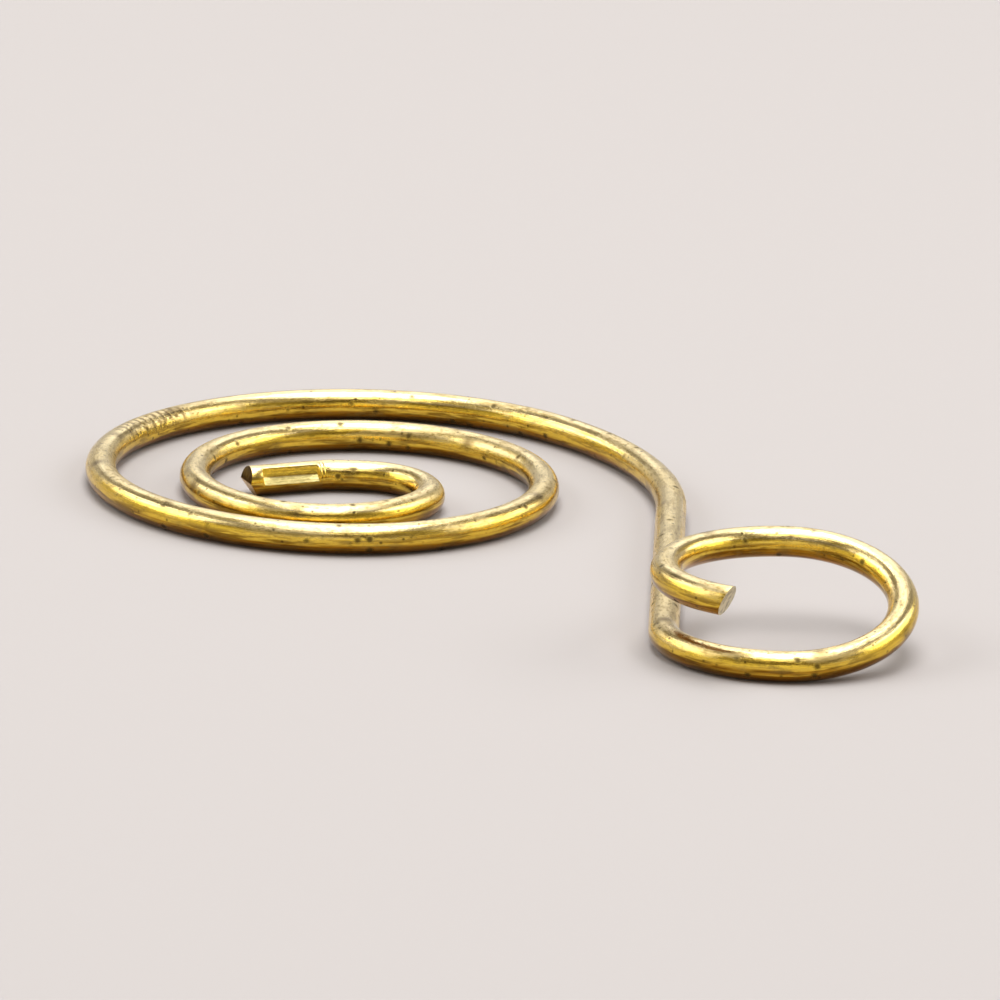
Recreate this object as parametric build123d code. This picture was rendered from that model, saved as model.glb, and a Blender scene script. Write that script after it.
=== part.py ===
"""Ornament hook: one length of round wire, formed into a flat scroll, a straight stem and a hanging eye.

Sizes are in millimetres and degrees. The hook lies flat, +Z up, with its origin under the middle of
its outline. It is shaped as a wire former shapes it: the wire is fed straight, bent to a radius, and
rolled about its own line where the next bend has to leave the plane.
"""
from build123d import *
from math import asin, copysign, degrees, radians, tan
import os

# Wire
wire_diameter = 1.2

# Tucked end at the middle of the scroll, with two flats from the winding jaws, rolled about the wire
jaw_grip_length = 3.2
jaw_flat_start = 0.6
jaw_flat_depth = 0.11
jaw_flat_roll = -28.0
tuck_bend_angle = 22.0
tuck_bend_radius = 1.3
tuck_lead_length = 1.1

# Scroll, wound from the middle outwards in arcs of equal angle and these radii, then in a wide shoulder
scroll_turning = 810.0
scroll_radii = (2.7, 4.3, 6.4, 7.0, 8.0, 9.7, 10.6)
shoulder_angle = 43.0
shoulder_radius = 15.8

# Stem
stem_length = 17.3

# Eye, which turns the other way and laps over the stem
eye_bore = 8.0
eye_lap_angle = 65.0
eye_lap_gap = 1.3

# Cut ends: two blades leave a ridge across the tucked end, and one blade shears the eye's end
upper_blade_slope = 12.0
lower_blade_slope = 32.0
shear_slope = 22.0

wire_radius = wire_diameter / 2
full_turn = 360.0
half_turn = 180.0
quarter_turn = 90.0


class WireForm:
    """A centreline that grows from its tip, where x runs along the wire and z is the axis of the bends."""

    def __init__(self, start):
        self.start = start
        self.tip = start
        self.runs = []

    def feed(self, length):
        """Run straight on."""
        self.runs.append(self.tip * Line((0, 0), (length, 0)))
        self.tip *= Pos(length, 0, 0)

    def bend(self, radius, angle):
        """Turn left through the angle, or right where it is negative."""
        self.runs.append(self.tip * JernArc((0, 0), (1, 0), radius, angle))
        centre = copysign(radius, angle)
        self.tip *= Pos(0, centre, 0) * Rot(0, 0, angle) * Pos(0, -centre, 0)

    def roll(self, angle):
        """Turn the tip about the wire, so that later bends lie in another plane."""
        self.tip *= Rot(angle, 0, 0)


def wind_scroll(form):
    """Wind clockwise from the tucked end out to the stem's direction, which is -y."""
    form.feed(jaw_grip_length)
    form.bend(tuck_bend_radius, -tuck_bend_angle)
    form.feed(tuck_lead_length)
    arc_angle = (scroll_turning - shoulder_angle) / len(scroll_radii)
    for radius in scroll_radii:
        form.bend(radius, -arc_angle)
    form.bend(shoulder_radius, -shoulder_angle)


def turn_eye(form):
    """Turn the eye the other way: level, then climbing over half a turn, then level across the stem."""
    radius = (eye_bore + wire_diameter) / 2
    rise = wire_diameter + eye_lap_gap
    climb = degrees(asin(rise / (2 * radius)))
    form.bend(radius, quarter_turn)
    form.roll(climb)
    form.bend(radius, half_turn)
    form.roll(climb)
    form.bend(radius, full_turn - quarter_turn - half_turn + eye_lap_angle)


def jaw_slivers(start):
    """What the winding jaws press off two sides of the tucked end, up to a shoulder at its bend."""
    length = jaw_grip_length - jaw_flat_start
    block = Box(length, wire_radius, wire_diameter, align=(Align.MIN, Align.MIN, Align.CENTER))
    sliver = Pos(jaw_flat_start, wire_radius - jaw_flat_depth, 0) * block
    return [start * Rot(roll, 0, 0) * sliver for roll in (jaw_flat_roll, jaw_flat_roll + half_turn)]


def prism(corners):
    """A bar across the wire, with its outline drawn along the wire (x) and across the bends' plane (z)."""
    outline = make_face(Plane.XZ * Polyline(*corners, close=True))
    return extrude(outline, amount=wire_diameter, both=True)


def blade_offcut(slope):
    """What one blade takes off above the middle of an end, sloping back from a ridge across it."""
    slant = wire_diameter * tan(radians(slope))
    return prism([(0, 0), (wire_radius, 0), (wire_radius, wire_diameter), (-slant, wire_diameter)])


def pinch_offcuts(end):
    """What the cutter's two blades take off an end, above and below."""
    upper = end * blade_offcut(upper_blade_slope)
    lower = end * Rot(half_turn, 0, 0) * blade_offcut(lower_blade_slope)
    return [upper, lower]


def shear_offcut(end):
    """What one slanting blade takes off an end, which stays longest on its upper side."""
    reach = wire_radius + eye_lap_gap / 2
    slope = tan(radians(shear_slope))
    upper = (reach - wire_radius) * slope
    lower = -(reach + wire_radius) * slope
    return end * prism([(upper, reach), (wire_diameter, reach), (wire_diameter, -reach), (lower, -reach)])


stem_direction = -quarter_turn
tuck_direction = stem_direction + scroll_turning + tuck_bend_angle
form = WireForm(Pos(0, 0, wire_radius) * Rot(0, 0, tuck_direction))
wind_scroll(form)
form.feed(stem_length)
turn_eye(form)

section = form.start * (Plane.YZ * Circle(wire_radius))
hook = sweep(section, path=Wire(form.runs))
hook -= jaw_slivers(form.start)
hook -= pinch_offcuts(form.start * Rot(0, 0, half_turn))
hook -= shear_offcut(form.tip)

extent = hook.bounding_box()
hook = Pos(-extent.center().X, -extent.center().Y, -extent.min.Z) * hook

os.makedirs("parts", exist_ok=True)
export_step(hook, "parts/hook_wire.step")
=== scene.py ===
from math import asin, copysign, cos, pi, radians, sin, sqrt
import bmesh
import bpy
from mathutils import Matrix, Vector


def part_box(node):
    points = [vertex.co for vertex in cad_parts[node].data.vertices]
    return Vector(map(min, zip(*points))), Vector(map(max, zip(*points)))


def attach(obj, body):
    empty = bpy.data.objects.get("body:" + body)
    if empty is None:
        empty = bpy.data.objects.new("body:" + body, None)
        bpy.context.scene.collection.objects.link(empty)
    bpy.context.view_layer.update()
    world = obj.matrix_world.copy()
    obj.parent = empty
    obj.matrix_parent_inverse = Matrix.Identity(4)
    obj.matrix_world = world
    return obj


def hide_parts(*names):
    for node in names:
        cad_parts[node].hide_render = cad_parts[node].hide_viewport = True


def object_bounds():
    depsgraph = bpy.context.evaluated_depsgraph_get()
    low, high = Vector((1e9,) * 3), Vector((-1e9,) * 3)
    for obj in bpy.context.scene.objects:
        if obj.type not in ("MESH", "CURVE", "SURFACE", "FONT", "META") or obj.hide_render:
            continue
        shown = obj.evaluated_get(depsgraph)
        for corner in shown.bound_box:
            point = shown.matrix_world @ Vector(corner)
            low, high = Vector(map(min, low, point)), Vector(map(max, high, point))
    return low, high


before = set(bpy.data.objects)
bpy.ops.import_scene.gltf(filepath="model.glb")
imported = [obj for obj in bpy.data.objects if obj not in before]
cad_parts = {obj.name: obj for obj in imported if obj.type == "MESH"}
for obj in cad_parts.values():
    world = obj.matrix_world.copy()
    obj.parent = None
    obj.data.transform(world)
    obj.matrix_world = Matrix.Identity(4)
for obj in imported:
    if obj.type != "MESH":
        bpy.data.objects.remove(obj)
cad_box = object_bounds()

# The wire. One length of drawn steel wire with a thin pale gold plating. A former feeds it straight
# and bends it to a radius, in the flat for the scroll and the stem, and rolls it a little about its
# own line where the eye has to climb over the stem. The former works in millimetres.
wire_diameter = 1.2
wire_radius = wire_diameter / 2
wire_sides = 60
ring_gap = 0.6
ring_turn = radians(3)
finest_gap = 1e-6


def moved(x, y, z):
    """A step along, across and out of the plane of the bends."""
    return Matrix.Translation((x, y, z))


def turned(angle, axis):
    """A turn about one of the former's own axes."""
    return Matrix.Rotation(angle, 4, axis)


class WireFormer:
    """The tip pushes a ring of wire along, which leaves the wire's skin behind it.

    x runs along the wire, and z is the axis of the bends. Each point of the skin remembers where it
    lay on the straight round wire, for its section and for the patterns that follow the wire.
    """

    def __init__(self, first_roll):
        """Start with one ring of the round section, its first point rolled about the wire."""
        self.skin = bmesh.new()
        self.unbent = self.skin.verts.layers.float_vector.new("unbent")
        self.tip = Matrix.Identity(4)
        upright = turned(first_roll, "X") @ turned(pi / 2, "Y")
        made = bmesh.ops.create_circle(
            self.skin, segments=wire_sides, radius=wire_radius, matrix=upright
        )
        for point in made["verts"]:
            point[self.unbent] = point.co
        self.ring = self.skin.verts[:] + self.skin.edges[:]

    def points(self):
        """The points of the newest ring."""
        return [item for item in self.ring if isinstance(item, bmesh.types.BMVert)]

    def push(self, length, steps, **way):
        """Leave skin behind a ring that goes on in steps of the given length."""
        old_points = len(self.skin.verts)
        self.ring = bmesh.ops.spin(self.skin, geom=self.ring, steps=steps, **way)["geom_last"]
        self.skin.verts.ensure_lookup_table()
        for count, point in enumerate(self.skin.verts[old_points:]):
            step = 1 + count // wire_sides
            point[self.unbent] += Vector((step * length, 0, 0))

    def feed(self, length):
        """Run straight on."""
        steps = max(1, round(length / ring_gap))
        step = self.tip.to_3x3() @ Vector((length / steps, 0, 0))
        self.push(length / steps, steps, dvec=step, axis=(0, 0, 1), angle=0)
        self.tip @= moved(length, 0, 0)

    def bend(self, radius, angle):
        """Turn left through the angle, or right where it is negative."""
        steps = max(1, round(abs(angle) / ring_turn))
        centre = copysign(radius, angle)
        pivot = self.tip @ Vector((0, centre, 0))
        axis = self.tip.to_3x3() @ Vector((0, 0, 1))
        self.push(radius * abs(angle) / steps, steps, cent=pivot, axis=axis, angle=angle)
        self.tip @= moved(0, centre, 0) @ turned(angle, "Z") @ moved(0, -centre, 0)

    def roll(self, angle):
        """Turn the tip about the wire, so that later bends lie in another plane."""
        self.tip @= turned(angle, "X")

    def reshape(self, section):
        """Give the newest ring another section, worked out from its places on the round wire."""
        for point in self.points():
            place = point[self.unbent]
            point.co = self.tip @ section(Vector((0, place.y, place.z)))

    def cut(self, first, last, place, outward):
        """Cut an end off at a plane, and close the cut. The end is given as a stretch of the wire."""
        low = first - finest_gap
        high = last + finest_gap
        verts = [vert for vert in self.skin.verts if low < vert[self.unbent].x < high]
        edges = dict.fromkeys(edge for vert in verts for edge in vert.link_edges)
        faces = dict.fromkeys(face for vert in verts for face in vert.link_faces)
        made = bmesh.ops.bisect_plane(
            self.skin,
            geom=[*verts, *edges, *faces],
            dist=finest_gap,
            plane_co=place,
            plane_no=outward,
            clear_outer=True,
        )
        rim = [item for item in made["geom_cut"] if isinstance(item, bmesh.types.BMEdge)]
        bmesh.ops.contextual_create(self.skin, geom=rim)


# The tucked end lies at the middle of the scroll. The winding jaws gripped it, and pressed two
# slightly hollow flats into two sides of the round wire. The flats end at a short shoulder, and the
# jaws' edges left two fine marks after it. A small bend leads from there into the scroll.
jaw_grip_length = 3.2
jaw_flat_start = 0.6
jaw_flat_depth = 0.11
jaw_flat_roll = radians(-28)
jaw_flat_edge = radians(36)
jaw_flat_hollow = 0.07
jaw_hollow_power = 1.3
jaw_shoulder_run = 0.07
jaw_mark_gap = 0.06
jaw_mark_width = 0.08
jaw_mark_depth = 0.03
jaw_mark_count = 2
tuck_bend_angle = radians(22)
tuck_bend_radius = 1.3
tuck_lead_length = 1.1


def round_section(place):
    """The wire's own section."""
    return place


def pressed_section(place):
    """The round section with two flats, a little hollow, whose edges lie on the circle."""
    side = wire_radius - jaw_flat_depth
    corner = sqrt(wire_radius**2 - side**2)
    across = turned(-jaw_flat_roll, "X") @ place
    half_flat = wire_radius * sin(jaw_flat_edge)
    if abs(across.z) < half_flat + finest_gap:
        hollow = jaw_flat_hollow * (1 - abs(across.z / half_flat) ** jaw_hollow_power)
        across.y = copysign(side - hollow, across.y)
        across.z *= corner / half_flat
    return turned(jaw_flat_roll, "X") @ across


def marked_section(place):
    """The round section, a little narrower on the two sides where the jaws' edges dug in."""
    across = turned(-jaw_flat_roll, "X") @ place
    bite = jaw_mark_depth * (across.y / wire_radius) ** 2
    return place * (1 - bite / wire_radius)


former = WireFormer(jaw_flat_roll)
marks_length = jaw_mark_count * (jaw_mark_gap + jaw_mark_width)
former.feed(jaw_flat_start - jaw_shoulder_run)
former.feed(jaw_shoulder_run)
former.reshape(pressed_section)
former.feed(jaw_grip_length - jaw_flat_start - jaw_shoulder_run - marks_length)
former.feed(jaw_shoulder_run)
former.reshape(round_section)
for _ in range(jaw_mark_count):
    former.feed(jaw_mark_gap)
    former.feed(jaw_mark_width / 2)
    former.reshape(marked_section)
    former.feed(jaw_mark_width / 2)
    former.reshape(round_section)
former.bend(tuck_bend_radius, -tuck_bend_angle)
former.feed(tuck_lead_length)

# The scroll is wound clockwise, from the middle outwards, in arcs of equal angle and growing radius.
# A wide shoulder leads off it into the straight stem.
scroll_turning = radians(810)
scroll_radii = (2.7, 4.3, 6.4, 7.0, 8.0, 9.7, 10.6)
shoulder_angle = radians(43)
shoulder_radius = 15.8
stem_length = 17.3

arc_angle = (scroll_turning - shoulder_angle) / len(scroll_radii)
for arc_radius in scroll_radii:
    former.bend(arc_radius, -arc_angle)
former.bend(shoulder_radius, -shoulder_angle)
former.feed(stem_length)

# The hanging eye turns the other way. It climbs over its far half turn and crosses the stem, and its
# tail stands clear of the stem.
eye_bore = 8.0
eye_lap_angle = radians(65)
eye_lap_gap = 1.3

eye_radius = (eye_bore + wire_diameter) / 2
climb = asin((wire_diameter + eye_lap_gap) / (2 * eye_radius))
former.bend(eye_radius, pi / 2)
former.roll(climb)
former.bend(eye_radius, pi)
former.roll(climb)
former.bend(eye_radius, pi / 2 + eye_lap_angle)

# The two cut ends. Two blades pinched the tucked end off and left a ridge across it, and one
# slanting blade sheared the tail. Their rims and the edges of the pressed flats are a little
# rounded, as plating leaves them.
upper_blade_slope = radians(12)
lower_blade_slope = radians(32)
shear_slope = radians(22)
cut_stretch = 1.2
weld_gap = 0.016
cap_corners = 13
core_slot = 1
worn_edge_angle = radians(26)
worn_edge_radius = 0.015
worn_edge_steps = 2

skin = former.skin
bmesh.ops.holes_fill(skin, edges=skin.edges, sides=wire_sides)
wire_length = max(point[former.unbent].x for point in former.points())
upper_blade = (-cos(upper_blade_slope), 0, sin(upper_blade_slope))
lower_blade = (-cos(lower_blade_slope), 0, -sin(lower_blade_slope))
former.cut(0, cut_stretch, (0, 0, 0), upper_blade)
former.cut(0, cut_stretch, (0, 0, 0), lower_blade)
tail_top = former.tip @ Vector((0, 0, wire_radius))
tail_blade = former.tip.to_3x3() @ Vector((cos(shear_slope), 0, -sin(shear_slope)))
former.cut(wire_length - cut_stretch, wire_length, tail_top, tail_blade)
bmesh.ops.remove_doubles(skin, verts=skin.verts, dist=weld_gap)
bmesh.ops.recalc_face_normals(skin, faces=skin.faces)
for face in skin.faces:
    if len(face.verts) >= cap_corners:
        face.material_index = core_slot
sharp_edges = [edge for edge in skin.edges if edge.calc_face_angle(0) > worn_edge_angle]
bmesh.ops.bevel(
    skin,
    geom=sharp_edges,
    offset=worn_edge_radius,
    offset_type="OFFSET",
    segments=worn_edge_steps,
    profile=0.5,
    affect="EDGES",
    material=-1,
    clamp_overlap=True,
)
for face in skin.faces:
    face.smooth = True

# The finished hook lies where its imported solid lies. It is turned so that the stem runs towards -y,
# shrunk to metres and set in the middle of the solid's own box, and it takes the solid's place.
to_metres = 0.001
tuck_direction = scroll_turning + tuck_bend_angle - pi / 2


def middle_of(corners):
    """The middle of the box round some points."""
    low = Vector(min(corner[axis] for corner in corners) for axis in range(3))
    high = Vector(max(corner[axis] for corner in corners) for axis in range(3))
    return (low + high) / 2


bmesh.ops.rotate(skin, cent=(0, 0, 0), matrix=turned(tuck_direction, "Z"), verts=skin.verts)
bmesh.ops.scale(skin, vec=(to_metres, to_metres, to_metres), verts=skin.verts)
hook_mesh = bpy.data.meshes.new("hook_wire_skin")
skin.to_mesh(hook_mesh)
skin.free()
solid_middle = middle_of(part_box("hook_wire"))
skin_middle = middle_of([vert.co for vert in hook_mesh.vertices])
hook_mesh.transform(Matrix.Translation(solid_middle - skin_middle))
hook = bpy.data.objects.new("formed_wire", hook_mesh)
bpy.context.scene.collection.objects.link(hook)
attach(hook, "root")
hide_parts("hook_wire")

# The finish. A thin pale gold plating keeps the fine lines that the drawing die left in the wire. Its
# colour is painted by the way it faces: paler up as painted light, deep gold at the sides as a
# painted reflection and brown down as painted shade. It has tarnish, worn patches, dark pits and tool
# chatter.
# Its patterns follow the unbent wire: x along it from the tucked end, and y and z across it.
# The three plating colours, chosen by facing, are painted light, painted reflection and painted
# shade.
plating_top_painted_light = (0.81, 0.66, 0.35, 1)
plating_side_painted_reflection = (0.86, 0.58, 0.07, 1)
plating_under_painted_shade = (0.38, 0.16, 0.008, 1)
dull_colour = (0.30, 0.20, 0.05, 1)
# The pressed flat's bright colour is a painted highlight.
pressed_flat_painted_highlight = (1.0, 0.86, 0.38, 1)
tarnish_and_shade_colour = (0.15, 0.06, 0.004, 1)
worn_colour = (0.62, 0.50, 0.27, 1)
smudge_colour = (0.16, 0.10, 0.03, 1)
pit_colour = (0.06, 0.04, 0.012, 1)
noise_middle = 0.5


class Tone:
    """A socket among a surface's nodes. Python's signs on it add Math nodes."""

    def __init__(self, tree, socket=None):
        self.tree = tree
        self.socket = socket

    def node(self, kind, inputs, output=0, **settings):
        """A node with its settings, its inputs' values or links, and the output that is used."""
        made = self.tree.nodes.new(kind)
        for name, value in settings.items():
            setattr(made, name, value)
        for name, value in inputs.items():
            if isinstance(value, Tone):
                self.tree.links.new(value.socket, made.inputs[name])
            else:
                made.inputs[name].default_value = value
        return Tone(self.tree, made.outputs[output] if made.outputs else None)

    def maths(self, operation, *terms):
        """A Math node on tones and numbers."""
        return self.node("ShaderNodeMath", dict(enumerate(terms)), operation=operation)

    def __add__(self, other):
        return self.maths("ADD", self, other)

    def __sub__(self, other):
        return self.maths("SUBTRACT", self, other)

    def __rsub__(self, other):
        return self.maths("SUBTRACT", other, self)

    def __mul__(self, other):
        return self.maths("MULTIPLY", self, other)

    def __lt__(self, other):
        return self.maths("LESS_THAN", self, other)

    __radd__ = __add__
    __rmul__ = __mul__

    def sine(self):
        """The sine of this, in radians."""
        return self.maths("SINE", self)

    def axis(self, letter):
        """One coordinate of a vector."""
        return self.node("ShaderNodeSeparateXYZ", {"Vector": self}, output=letter)

    def ramp(self, none_at, full_at):
        """0 up to one value, 1 past the other, and smooth between. Either may be the higher."""
        inputs = {"Value": self, "From Min": none_at, "From Max": full_at}
        return self.node("ShaderNodeMapRange", inputs, interpolation_type="SMOOTHSTEP")

    def mix(self, under, over, strength=1.0):
        """The colour under where this is 0, with the one over it as strong as given where it is 1."""
        # Its sockets go by number, because a Mix node has one of each name for each kind of data.
        factor = 0
        first_colour = 6
        second_colour = 7
        mixed_colour = 2
        inputs = {factor: self * strength, first_colour: under, second_colour: over}
        return self.node("ShaderNodeMix", inputs, output=mixed_colour, data_type="RGBA")


def emptied(owner):
    """The nodes of a material or a world, cleared to begin from."""
    owner.use_nodes = True
    owner.node_tree.nodes.clear()
    return Tone(owner.node_tree)


gold = bpy.data.materials.new("gold_plating")
tone = emptied(gold)
unbent = tone.node("ShaderNodeAttribute", {}, output="Vector", attribute_name="unbent")
along = unbent.axis("X")
outer = unbent.axis("Y")
upper = unbent.axis("Z")
upward = tone.node("ShaderNodeNewGeometry", {}, output="Normal").axis("Z")


def grain(length, width, detail=4.0, roughness=0.6, seed=0.0):
    """Noise on the unbent wire, with its grain's length along the wire and width across it."""
    place = tone.node(
        "ShaderNodeMapping",
        {"Vector": unbent, "Location": (seed, 0, 0), "Scale": (1 / length, 1 / width, 1 / width)},
    )
    inputs = {"Vector": place, "Scale": 1.0, "Detail": detail, "Roughness": roughness}
    return tone.node("ShaderNodeTexNoise", inputs)


def stretch(first, last, fade):
    """1 between two places along the wire, fading out inside both."""
    return along.ramp(first, first + fade) * along.ramp(last, last - fade)


# The plating is painted pale on top as painted light, golden at the sides as a painted reflection
# and brown below as painted shade, in streaks along the wire.
streaks = grain(length=5.0, width=0.18, seed=40)
streak_sway = 1.3
painted_light_facing = (0.30, 0.90)
painted_shade_facing = (0.0, -0.45)
turned_up = upward + (streaks - noise_middle) * streak_sway
# Paler facing up, deeper gold at the sides and brown facing down: painted light, reflection and
# shade.
base = turned_up.ramp(*painted_light_facing).mix(plating_side_painted_reflection, plating_top_painted_light)
base = turned_up.ramp(*painted_shade_facing).mix(base, plating_under_painted_shade)

# Tarnish lies in streaks at the sides, kept to faces that turn down, so it is partly painted shade.
# Under the tucked end, as far as the jaws gripped it, faces that turn down are painted dark as shade.
tarnish_streaks = grain(length=2.2, width=0.20, detail=3.0, seed=130)
tarnish_spread = (0.46, 0.58)
tarnish_shade_facing = (0.40, -0.10)
tarnish_and_shade_strength = 0.8
# The random tarnish streaks are kept to faces that turn down: partly a painted shade.
tarnish_and_painted_shade = tarnish_streaks.ramp(*tarnish_spread) * upward.ramp(*tarnish_shade_facing)
base = tarnish_and_painted_shade.mix(base, tarnish_and_shade_colour, tarnish_and_shade_strength)
grip_start = (0.2, 0.6)
grip_end = (2.8, 3.3)
grip_shade_facing = (0.0, -0.35)
grip_shade_strength = 0.6
free = along.ramp(*grip_end)
# Under the gripped stretch, faces that turn down are painted darker: a painted shade.
gripped_painted_shade = (1 - free) * upward.ramp(*grip_shade_facing) * along.ramp(*grip_start)
base = gripped_painted_shade.mix(base, tarnish_and_shade_colour, grip_shade_strength)

# The flat that faces up is painted bright: a painted highlight.
flat_first = 0.55
flat_last = 2.95
flat_fade = 0.1
flat_below = (0.30, 0.20)
painted_highlight_facing = (0.30, 0.45)
pressed = stretch(flat_first, flat_last, flat_fade) * upper.ramp(*flat_below)
pressed = pressed * upward.ramp(*painted_highlight_facing)
base = pressed.mix(base, pressed_flat_painted_highlight)

# Handling wore the top pale in blotches, and the plating is dull in a mottle, stains and draw lines.
blotches = grain(length=3.5, width=0.9, seed=90)
worn_spread = (0.45, 0.60)
worn_facing = (0.0, 0.6)
worn_start = (3.2, 3.6)
worn_strength = 0.6
worn = blotches.ramp(*worn_spread) * upward.ramp(*worn_facing) * along.ramp(*worn_start)
base = worn.mix(base, worn_colour, worn_strength)
mottle = grain(length=0.30, width=0.13, detail=3.0, roughness=0.7, seed=20)
mottle_spread = (0.46, 0.70)
mottle_strength = 0.35
mottle_if_worn = 0.55
mottled = mottle.ramp(*mottle_spread) * (worn * mottle_if_worn + mottle_strength)
base = mottled.mix(base, dull_colour)
stains = grain(length=1.3, width=0.35, detail=5.0, roughness=0.65, seed=60)
stain_spread = (0.50, 0.68)
stain_strength = 0.55
base = stains.ramp(*stain_spread).mix(base, dull_colour, stain_strength)
draw_lines = grain(length=6.0, width=0.05, detail=3.0)
draw_line_spread = (0.52, 0.72)
draw_line_strength = 0.3
base = draw_lines.ramp(*draw_line_spread).mix(base, dull_colour, draw_line_strength)


def pits_of(size, gap, share, softness, seed):
    """Scattered ragged pits: 1 in a pit and 0 outside. The share is of cells that have one."""
    place = tone.node("ShaderNodeMapping", {"Vector": unbent, "Location": (seed, 0, 0)})
    cell = {"Vector": place, "Scale": 1 / gap, "Randomness": 1.0}
    middle = tone.node("ShaderNodeTexVoronoi", cell, output="Distance")
    chance = tone.node("ShaderNodeTexVoronoi", cell, output="Color")
    chosen = tone.node("ShaderNodeSeparateColor", {"Color": chance}, output="Red") < share
    ragged = (mottle - noise_middle) * size
    return (middle * gap + ragged).ramp(size, size * (1 - softness)) * chosen


# Smudges, pits and specks are scattered wherever the jaws didn't grip.
smudge_strength = 0.8
pit_strength = 0.85
speck_strength = 0.75
smudges = pits_of(size=0.50, gap=1.6, share=0.7, softness=1.0, seed=7) * free
pits = pits_of(size=0.20, gap=0.8, share=0.7, softness=0.8, seed=3) * free
specks = pits_of(size=0.09, gap=0.4, share=0.6, softness=0.8, seed=11) * free
base = smudges.mix(base, smudge_colour, smudge_strength)
base = pits.mix(base, pit_colour, pit_strength)
base = specks.mix(base, pit_colour, speck_strength)

# A tool chattered over one stretch of the outer turn. It left broken ripples, with grime in them.
chatter_first = 75.8
chatter_last = 81.2
chatter_fade = 1.0
chatter_above = (0.0, 0.3)
chatter_inside = (0.25, -0.05)
ripple_gap = 0.38
ripple_sway = 7
ripple_crest = (-0.1, 0.7)
scrape_spread = (0.39, 0.50)
grime_spread = (0.46, 0.60)
chatter_strength = 0.8
grime_strength = 0.6
ripple = (along * (2 * pi / ripple_gap) + mottle * ripple_sway).sine()
patch = stretch(chatter_first, chatter_last, chatter_fade)
patch = patch * upper.ramp(*chatter_above) * outer.ramp(*chatter_inside)
scraped = grain(length=0.7, width=0.35, seed=152).ramp(*scrape_spread)
chatter = ripple.ramp(*ripple_crest) * patch * scraped
grime = patch * grain(length=0.5, width=0.4, seed=171).ramp(*grime_spread)
base = grime.mix(base, smudge_colour, grime_strength)
base = chatter.mix(base, smudge_colour, chatter_strength)

# The relief, in millimetres, and the roughness.
draw_line_height = 0.005
streak_height = 0.006
mottle_height = 0.008
pit_depth = 0.006
speck_depth = 0.004
chatter_depth = 0.014
bright_roughness = 0.08
draw_line_roughness = 0.12
mottle_roughness = 0.10
worn_roughness = 0.18
pit_roughness = 0.3
pressed_roughness = 0.15
marks = pits * pit_depth + specks * speck_depth + chatter * chatter_depth
height = draw_lines * draw_line_height + streaks * streak_height + mottle * mottle_height - marks
relief = tone.node("ShaderNodeBump", {"Height": height, "Distance": to_metres, "Strength": 1.0})
gloss = bright_roughness + draw_lines * draw_line_roughness + mottle * mottle_roughness
gloss = gloss + worn * worn_roughness + pits * pit_roughness + pressed * pressed_roughness
plating = tone.node(
    "ShaderNodeBsdfPrincipled",
    {"Base Color": base, "Metallic": 1.0, "Roughness": gloss, "Normal": relief},
)
tone.node("ShaderNodeOutputMaterial", {"Surface": plating})
hook_mesh.materials.append(gold)

# The core. The cut ends show bare steel. At the tucked end the upper blade's facet is painted nearly
# black as painted shade, and it is paler below, where the wire tore. The tail's end is a clean pale
# shear.
shade_and_tear_colour = (0.045, 0.022, 0.008, 1)
torn_colour = (0.66, 0.46, 0.22, 1)
shear_colour = (0.74, 0.66, 0.46, 1)
tucked_reach = (5, 1)
upper_facet_above = (-0.03, 0.05)
tear_scale = 5.0
tear_detail = 4.0
tear_spread = (0.40, 0.75)
tear_strength = 0.6
tear_height = 0.03
smooth_roughness = 0.25
tear_roughness = 0.3

steel = bpy.data.materials.new("sheared_steel")
core = emptied(steel)
core_unbent = core.node("ShaderNodeAttribute", {}, output="Vector", attribute_name="unbent")
tucked = core_unbent.axis("X").ramp(*tucked_reach)
upper_facet_painted_shade = core_unbent.axis("Z").ramp(*upper_facet_above) * tucked
grain_inputs = {"Vector": core_unbent, "Scale": tear_scale, "Detail": tear_detail}
tears = core.node("ShaderNodeTexNoise", grain_inputs)
metal = tucked.mix(shear_colour, torn_colour)
# The upper facet is painted dark as shade; noise also scatters the same dark colour over the torn
# steel.
metal = upper_facet_painted_shade.mix(metal, shade_and_tear_colour)
metal = tears.ramp(*tear_spread).mix(metal, shade_and_tear_colour, tear_strength)
dents = core.node(
    "ShaderNodeBump", {"Height": tears * tear_height, "Distance": to_metres, "Strength": 1.0}
)
dullness = smooth_roughness + tears * tear_roughness
bare = core.node(
    "ShaderNodeBsdfPrincipled",
    {"Base Color": metal, "Metallic": 1.0, "Roughness": dullness, "Normal": dents},
)
core.node("ShaderNodeOutputMaterial", {"Surface": bare})
hook_mesh.materials.append(steel)

# The floor. A plain pale studio table, matt as paper, which the hook lies on. It reaches past every
# view, and isn't part of the object.
table_reach = 1.5
table_colour = (0.47, 0.445, 0.45, 1)
table_roughness = 0.9
table_specular = 0.1

floor_mesh = bpy.data.meshes.new("table")
table = bmesh.new()
bmesh.ops.create_grid(table, x_segments=1, y_segments=1, size=table_reach)
table.to_mesh(floor_mesh)
table.free()
floor = bpy.data.objects.new("table", floor_mesh)
bpy.context.scene.collection.objects.link(floor)
paper = bpy.data.materials.new("pale_table")
paper.use_nodes = True
sheet = paper.node_tree.nodes["Principled BSDF"]
sheet.inputs["Base Color"].default_value = table_colour
sheet.inputs["Roughness"].default_value = table_roughness
sheet.inputs["Specular IOR Level"].default_value = table_specular
floor_mesh.materials.append(paper)

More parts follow.
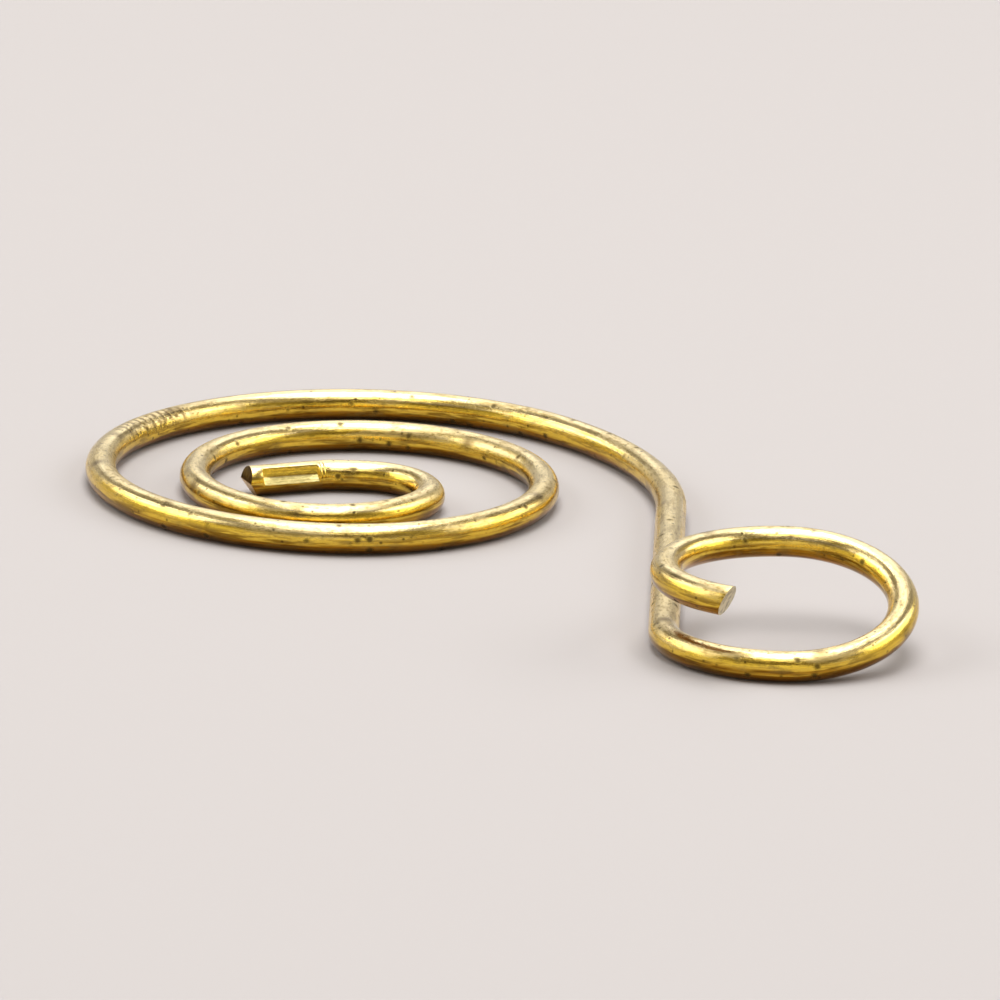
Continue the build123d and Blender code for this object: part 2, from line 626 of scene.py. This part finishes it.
# The light. One broad lamp hangs overhead in a pale room with a darker ceiling. A bright window
# strip over the back wall and a bright screen at each side show in the wire as its pale tops, and
# the ceiling is dim above the camera. Places are parts of a direction: aside, beyond and above.
front_wall_colour = (0.85, 0.81, 0.72, 1)
back_wall_colour = (0.60, 0.56, 0.50, 1)
ceiling_colour = (0.31, 0.28, 0.22, 1)
window_colour = (1.80, 1.78, 1.75, 1)
dim_colour = (0.17, 0.14, 0.09, 1)
screen_colour = (3.10, 3.05, 2.90, 1)
back_wall_beyond = (-0.3, 0.3)
ceiling_above = (0.20, 0.45)
window_aside_squared = (0.13, 0.04)
window_above = (0.17, 0.45)
dim_beyond = (-0.52, -0.66)
dim_above = (0.30, 0.46)
screens_aside_squared = (0.34, 0.46)
screens_above = (0.27, 0.38)
screens_beyond = (-0.35, -0.15)
lamp_place = Vector((0, 0.04, 0.36))
lamp_size = (0.22, 0.34)
lamp_power = 0.8
lamp_colour = (1.0, 0.99, 0.96)

room = bpy.data.worlds.new("room")
bpy.context.scene.world = room
air = emptied(room)
direction = air.node("ShaderNodeTexCoord", {}, output="Generated")
beyond = direction.axis("Y")
above = direction.axis("Z")
aside = direction.axis("X")
aside_squared = aside * aside
low_walls = beyond.ramp(*back_wall_beyond).mix(front_wall_colour, back_wall_colour)
walls = above.ramp(*ceiling_above).mix(low_walls, ceiling_colour)
window = aside_squared.ramp(*window_aside_squared) * above.ramp(*window_above)
walls = window.mix(walls, window_colour)
dimness = beyond.ramp(*dim_beyond) * above.ramp(*dim_above)
walls = dimness.mix(walls, dim_colour)
screens = aside_squared.ramp(*screens_aside_squared) * above.ramp(*screens_above)
screens = screens * beyond.ramp(*screens_beyond)
walls = screens.mix(walls, screen_colour)
glow = air.node("ShaderNodeBackground", {"Color": walls, "Strength": 1.0})
air.node("ShaderNodeOutputWorld", {"Surface": glow})


def looking(direction):
    """The turn of a lamp or a camera that looks in a direction."""
    return direction.to_track_quat("-Z", "Y").to_matrix().to_4x4()


light = bpy.data.lights.new("high_lamp", "AREA")
light.shape = "RECTANGLE"
light.size, light.size_y = lamp_size
light.energy = lamp_power
light.color = lamp_colour
lamp = bpy.data.objects.new("high_lamp", light)
bpy.context.scene.collection.objects.link(lamp)
lamp.matrix_world = Matrix.Translation(lamp_place) @ looking(-lamp_place)

# The camera. It looks from the photograph's low angle, along the stem from the eye's side, through a
# long lens, and leans by the photograph's small roll. The view's width is measured at the hook.
view_azimuth = radians(0.9)
view_elevation = radians(15.6)
view_roll = radians(1.5)
view_distance = 1.0
view_width = 0.039
sensor_width = 36.0
nearest_seen = 0.01

lens = bpy.data.cameras.new("long_lens")
lens.sensor_fit = "HORIZONTAL"
lens.sensor_width = sensor_width
lens.lens = sensor_width * view_distance / view_width
lens.clip_start = nearest_seen
camera = bpy.data.objects.new("camera", lens)
bpy.context.scene.collection.objects.link(camera)
level = cos(view_elevation)
away = Vector((sin(view_azimuth) * level, -cos(view_azimuth) * level, sin(view_elevation)))
camera_place = middle_of(cad_box) + away * view_distance
camera.matrix_world = Matrix.Translation(camera_place) @ looking(-away) @ turned(view_roll, "Z")
bpy.context.scene.camera = camera
bpy.context.scene.view_settings.view_transform = "Standard"
